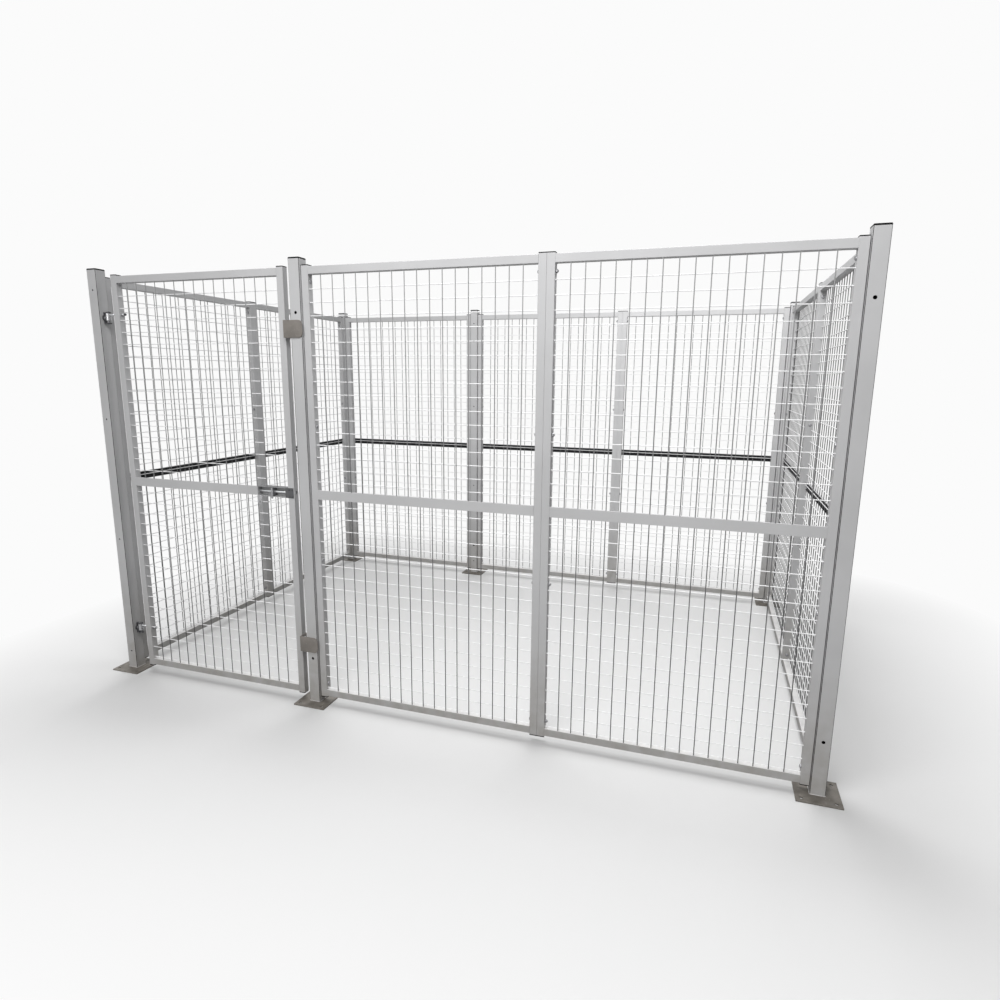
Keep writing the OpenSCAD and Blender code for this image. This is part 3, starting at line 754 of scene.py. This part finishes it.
def dress_rod():
    """Slide bolt rod with rounded ends."""
    low, high = map(Vector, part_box("latch_bolt"))
    centre = (low + high) / 2
    radius = (high.z - low.z) / 2
    length = high.x - low.x
    rings = [
        (None, 0.0), (circle(radius * 0.8), 0.0), (circle(radius), 1.5 * MM),
        (circle(radius), length - 3 * MM), (circle(radius * 0.85), length - 1.2 * MM),
        (circle(radius * 0.5), length), (None, length),
    ]
    mesh = bmesh.new()
    loft(mesh, rings, aim((low.x, centre.y, centre.z), unit(0, 1)))
    stand_in(mesh, "latch_rod", "latch_bolt", ZINC)


# ---------- welds ----------

UP = Vector((0, 0, 1))
# edges sharper than this, in degrees, stay sharp in a weld
WELD_ANGLE = 60


def bead(mesh, path, normals, size, closed=True):
    """Fillet weld along a path. normals gives, at each point, the two directions of its legs."""
    sections = 5
    rows = []
    for i, (point, (first, second)) in enumerate(zip(path, normals)):
        # two waves out of step, so that the ripples aren't all alike
        ripple = 1 + 0.10 * math.sin(i * 2.1) + 0.04 * math.sin(i * 5.3)
        row = []
        for k in range(sections + 1):
            a = math.pi / 2 * k / sections
            # the section stands a little proud between its two legs
            swell = size * ripple * (0.72 + 0.28 * math.cos(4 * a - math.pi) * 0.3)
            on_first = first * swell * math.cos(a)
            on_second = second * swell * math.sin(a)
            row.append(mesh.verts.new(point + on_first + on_second))
        # the root goes 0.2 mm into the corner
        row.append(mesh.verts.new(point + (first + second) * -0.2 * MM))
        rows.append(row)
    count = len(rows)
    for i in range(count if closed else count - 1):
        near, far = rows[i], rows[(i + 1) % count]
        for k in range(len(near)):
            n = (k + 1) % len(near)
            mesh.faces.new((near[k], near[n], far[n], far[k]))
    if not closed:
        mesh.faces.new(rows[0])
        mesh.faces.new(rows[-1])


def tube_outline(half, corner):
    """Points round a square tube about the origin, with the directions of a fillet's legs."""
    side_steps, corner_steps = 30, 4
    path, normals = [], []
    for quarter in range(4):
        turn = Matrix.Rotation(quarter * math.pi / 2, 3, "Z")
        for i in range(side_steps):
            along = -half + corner + (2 * half - 2 * corner) * i / side_steps
            path.append(turn @ Vector((half, along, 0)))
            normals.append((turn @ Vector((1, 0, 0)), UP))
        for i in range(corner_steps):
            a = math.pi / 2 * i / corner_steps
            out = Vector((math.cos(a), math.sin(a), 0))
            path.append(turn @ (Vector((half - corner, half - corner, 0)) + out * corner))
            normals.append((turn @ out, UP))
    return path, normals


def post_foot_welds():
    """A rippled fillet all round each post where it stands on its base plate."""
    leg = 2.5 * MM
    corner = 3 * MM
    for name in POST_NAMES:
        low, high = map(Vector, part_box("post_" + name))
        centre = (low + high) / 2
        path, normals = tube_outline((high.x - low.x) / 2, corner)
        shift = Vector((centre.x, centre.y, low.z))
        mesh = bmesh.new()
        bead(mesh, [shift + p for p in path], normals, leg)
        finish_piece(mesh, "foot_weld_" + name, "enclosure", COAT, WELD_ANGLE)


def corner_welds(frame_node, mesh):
    """Small fillets in the four inner corners of a frame, where rail meets stile."""
    low, high = map(Vector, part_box(frame_node))
    along = 0 if high.x - low.x > high.y - low.y else 1
    across = 1 - along
    tube = high[across] - low[across]
    drop = 3 * MM
    leg, inset = 2.2 * MM, 2 * MM
    steps = 14
    for side in (1, -1):
        stile = low[along] + tube if side > 0 else high[along] - tube
        for up in (1, -1):
            rail = low.z + drop + tube if up > 0 else high.z - drop - tube
            path, normals = [], []
            for i in range(steps + 1):
                point = Vector((0, 0, rail))
                point[along] = stile
                point[across] = low[across] + inset + (tube - 2 * inset) * i / steps
                path.append(point)
                normals.append((unit(along, side), unit(2, up)))
            bead(mesh, path, normals, leg, closed=False)


def frame_welds(name, body, frame_nodes):
    """One piece with the corner welds of some frames."""
    mesh = bmesh.new()
    for node in frame_nodes:
        corner_welds(node, mesh)
    finish_piece(mesh, name, body, COAT, WELD_ANGLE)


# ---------- the object ----------

def dress_frames():
    """Posts, panels, mid rails and door, with their plates, caps and plugs."""
    for post in POST_NAMES:
        dress("post_" + post, POST_COATS[post])
        soften("base_plate_" + post, PLATE, 0.7 * MM)
        dress("cap_" + post, PLASTIC)
    for panel in PANELS:
        dress(f"panel_frame_{panel}", COAT)
        dress(f"panel_mesh_{panel}", WIRE_COAT)
    for wall in WALLS:
        dress("mid_rails_" + wall, RAIL_COAT)
    dress("door_frame", COAT)
    dress("door_mesh", WIRE_COAT)
    dress("door_mid_rail", RAIL_COAT)
    dress("stile_plugs", PLASTIC)
    dress("door_plugs", PLASTIC)


def dress_fittings():
    """Bolts, nuts, hinges, stop plates and latch."""
    dress("panel_washers", BOLT_ZINC)
    dress("hinge_bracket_fasteners", BOLT_ZINC)
    dress_bolts("panel_bolts", "panel_bolts_button", BOLT_ZINC)
    dress_nuts("panel_nuts", "panel_nuts_chamfered", BOLT_ZINC)
    dress_bolts("stop_plate_screws", "stop_plate_screws_button", ZINC)
    dress_bolts("latch_rivets", "latch_rivets_domed", DARK, socket=False)
    dress_hinge_pins()
    dress_eye_bolts()
    dress_hinge_nuts()
    dress_rod()
    soften("hinge_brackets", DARK, 0.5 * MM)
    soften("stop_plates", STOP, 0.5 * MM)
    soften("latch_housing", HOUSING, 0.4 * MM)
    soften("latch_handle", BOLT_ZINC, 0.8 * MM)
    soften("padlock_ear", EYE, 0.4 * MM)


dress_frames()
dress_fittings()
post_foot_welds()
frame_welds("panel_corner_welds", "enclosure", [f"panel_frame_{panel}" for panel in PANELS])
frame_welds("door_corner_welds", "door", ["door_frame"])


# ---------- floor, light and camera ----------

BACKGROUND = (0.965, 0.965, 0.965)
FLOOR_PALE = (0.755, 0.755, 0.755)
# the floor's colour for light that it throws back onto the object
FLOOR_DEEP = (0.26, 0.26, 0.26)
FLOOR_SIZE = 60.0
# the rectangle of plain floor, and the distance outside it at which only background is left
PLAIN_X = (-1.4, 1.75)
PLAIN_Y = (-1.35, 0.9)
FLOOR_FADE = 1.1


def mix_shaders(tree, factor, first, second):
    node = tree.nodes.new("ShaderNodeMixShader")
    tree.links.new(factor, node.inputs[0])
    tree.links.new(first, node.inputs[1])
    tree.links.new(second, node.inputs[2])
    return node.outputs[0]


def seen_directly(tree):
    """1 for camera, glossy and transmission rays, 0 for light that falls on the object."""
    path = tree.nodes.new("ShaderNodeLightPath")
    total = path.outputs["Is Camera Ray"]
    for name in ("Is Glossy Ray", "Is Transmission Ray"):
        node = tree.nodes.new("ShaderNodeMath")
        node.operation = "MAXIMUM"
        tree.links.new(total, node.inputs[0])
        tree.links.new(path.outputs[name], node.inputs[1])
        total = node.outputs[0]
    return total


def outside(finish, axis, low, high):
    """How far an object coordinate lies outside two values, in metres."""
    below = finish.math("SUBTRACT", low, finish.axis(axis))
    above = finish.math("SUBTRACT", finish.axis(axis), high)
    return finish.math("MAXIMUM", finish.math("MAXIMUM", below, above), 0.0)


def floor_coat():
    """Pale plain paint that turns into the background's light away from the object."""
    finish = Finish("floor_paint", specular=0.1)
    seen = seen_directly(finish.tree)
    clouds = finish.mix(finish.noise(0.8, detail=2.0), FLOOR_PALE, scaled(FLOOR_PALE, 0.97))
    finish.colour(finish.mix(seen, FLOOR_DEEP, clouds))
    finish.roughness(0.9)
    beyond = [outside(finish, "X", *PLAIN_X), outside(finish, "Y", *PLAIN_Y)]
    squares = [finish.math("MULTIPLY", side, side) for side in beyond]
    distance = finish.math("SQRT", finish.math("ADD", *squares))
    far = finish.ramp(distance, 0.0, 1.0, 0.0, FLOOR_FADE)
    glow = finish.add("ShaderNodeEmission")
    glow.inputs["Color"].default_value = (*BACKGROUND, 1.0)
    factor = finish.math("MULTIPLY", far, seen)
    paint = finish.shader.outputs["BSDF"]
    surface = mix_shaders(finish.tree, factor, paint, glow.outputs["Emission"])
    finish.link(surface, finish.output.inputs["Surface"])
    return finish


def build_floor():
    mesh = bmesh.new()
    bmesh.ops.create_grid(mesh, x_segments=8, y_segments=8, size=FLOOR_SIZE / 2)
    data = bpy.data.meshes.new("floor")
    mesh.to_mesh(data)
    mesh.free()
    floor = add_object("floor", data)
    data.materials.append(floor_coat().material)


def build_world(strength):
    """Even light of that strength on the object, and a white background in direct views."""
    world = bpy.data.worlds.new("studio")
    bpy.context.scene.world = world
    world.use_nodes = True
    tree = world.node_tree
    tree.nodes.clear()
    ambient = tree.nodes.new("ShaderNodeBackground")
    ambient.inputs["Color"].default_value = (1, 1, 1, 1)
    ambient.inputs["Strength"].default_value = strength
    white = tree.nodes.new("ShaderNodeBackground")
    white.inputs["Color"].default_value = (*BACKGROUND, 1.0)
    output = tree.nodes.new("ShaderNodeOutputWorld")
    surface = mix_shaders(tree, seen_directly(tree), ambient.outputs[0], white.outputs[0])
    tree.links.new(surface, output.inputs["Surface"])


def area_lamp(name, place, target, size, power):
    """Round lamp of that width that shines from place to target."""
    data = bpy.data.lights.new(name, "AREA")
    data.shape = "DISK"
    data.size = size
    data.energy = power
    add_object(name, data).matrix_world = aim(place, Vector(place) - Vector(target))


def sun_lamp(name, direction, strength, softness):
    """Sun that stands in a direction, its disk softness degrees wide."""
    data = bpy.data.lights.new(name, "SUN")
    data.energy = strength
    data.angle = math.radians(softness)
    add_object(name, data).matrix_world = aim((0, 0, 4), direction)


def build_camera():
    """The photograph's camera, found by fitting the object's edges to the picture."""
    picture = 1000.0
    focal_pixels = 634.64
    place = Vector((1.07533, -3.24476, 1.41832))
    yaw, pitch, roll = (math.radians(a) for a in (-17.9106, -10.9483, 0.5055))
    data = bpy.data.cameras.new("camera")
    data.sensor_width = 36.0
    data.lens = data.sensor_width * focal_pixels / picture
    data.clip_end = 200.0
    camera = add_object("camera", data)
    turn = Matrix.Rotation(-yaw, 4, "Z") @ Matrix.Rotation(math.pi / 2 + pitch, 4, "X")
    camera.matrix_world = Matrix.Translation(place) @ turn @ Matrix.Rotation(roll, 4, "Z")
    bpy.context.scene.camera = camera


build_floor()
build_world(strength=0.13)
sun_lamp("key", direction=(-0.23, 0.54, 1.0), strength=1.68, softness=42)
sun_lamp("fill", direction=(-0.08, -1.0, 0.3), strength=1.22, softness=38)
area_lamp("front", place=(0.4, -2.5, 3.2), target=(0.4, -1.0, 0.9), size=1.6, power=49)
area_lamp("inside", place=(0.9, -0.2, 3.0), target=(0.6, 1.0, 1.0), size=1.2, power=27)
build_camera()
bpy.context.scene.view_settings.view_transform = "Standard"
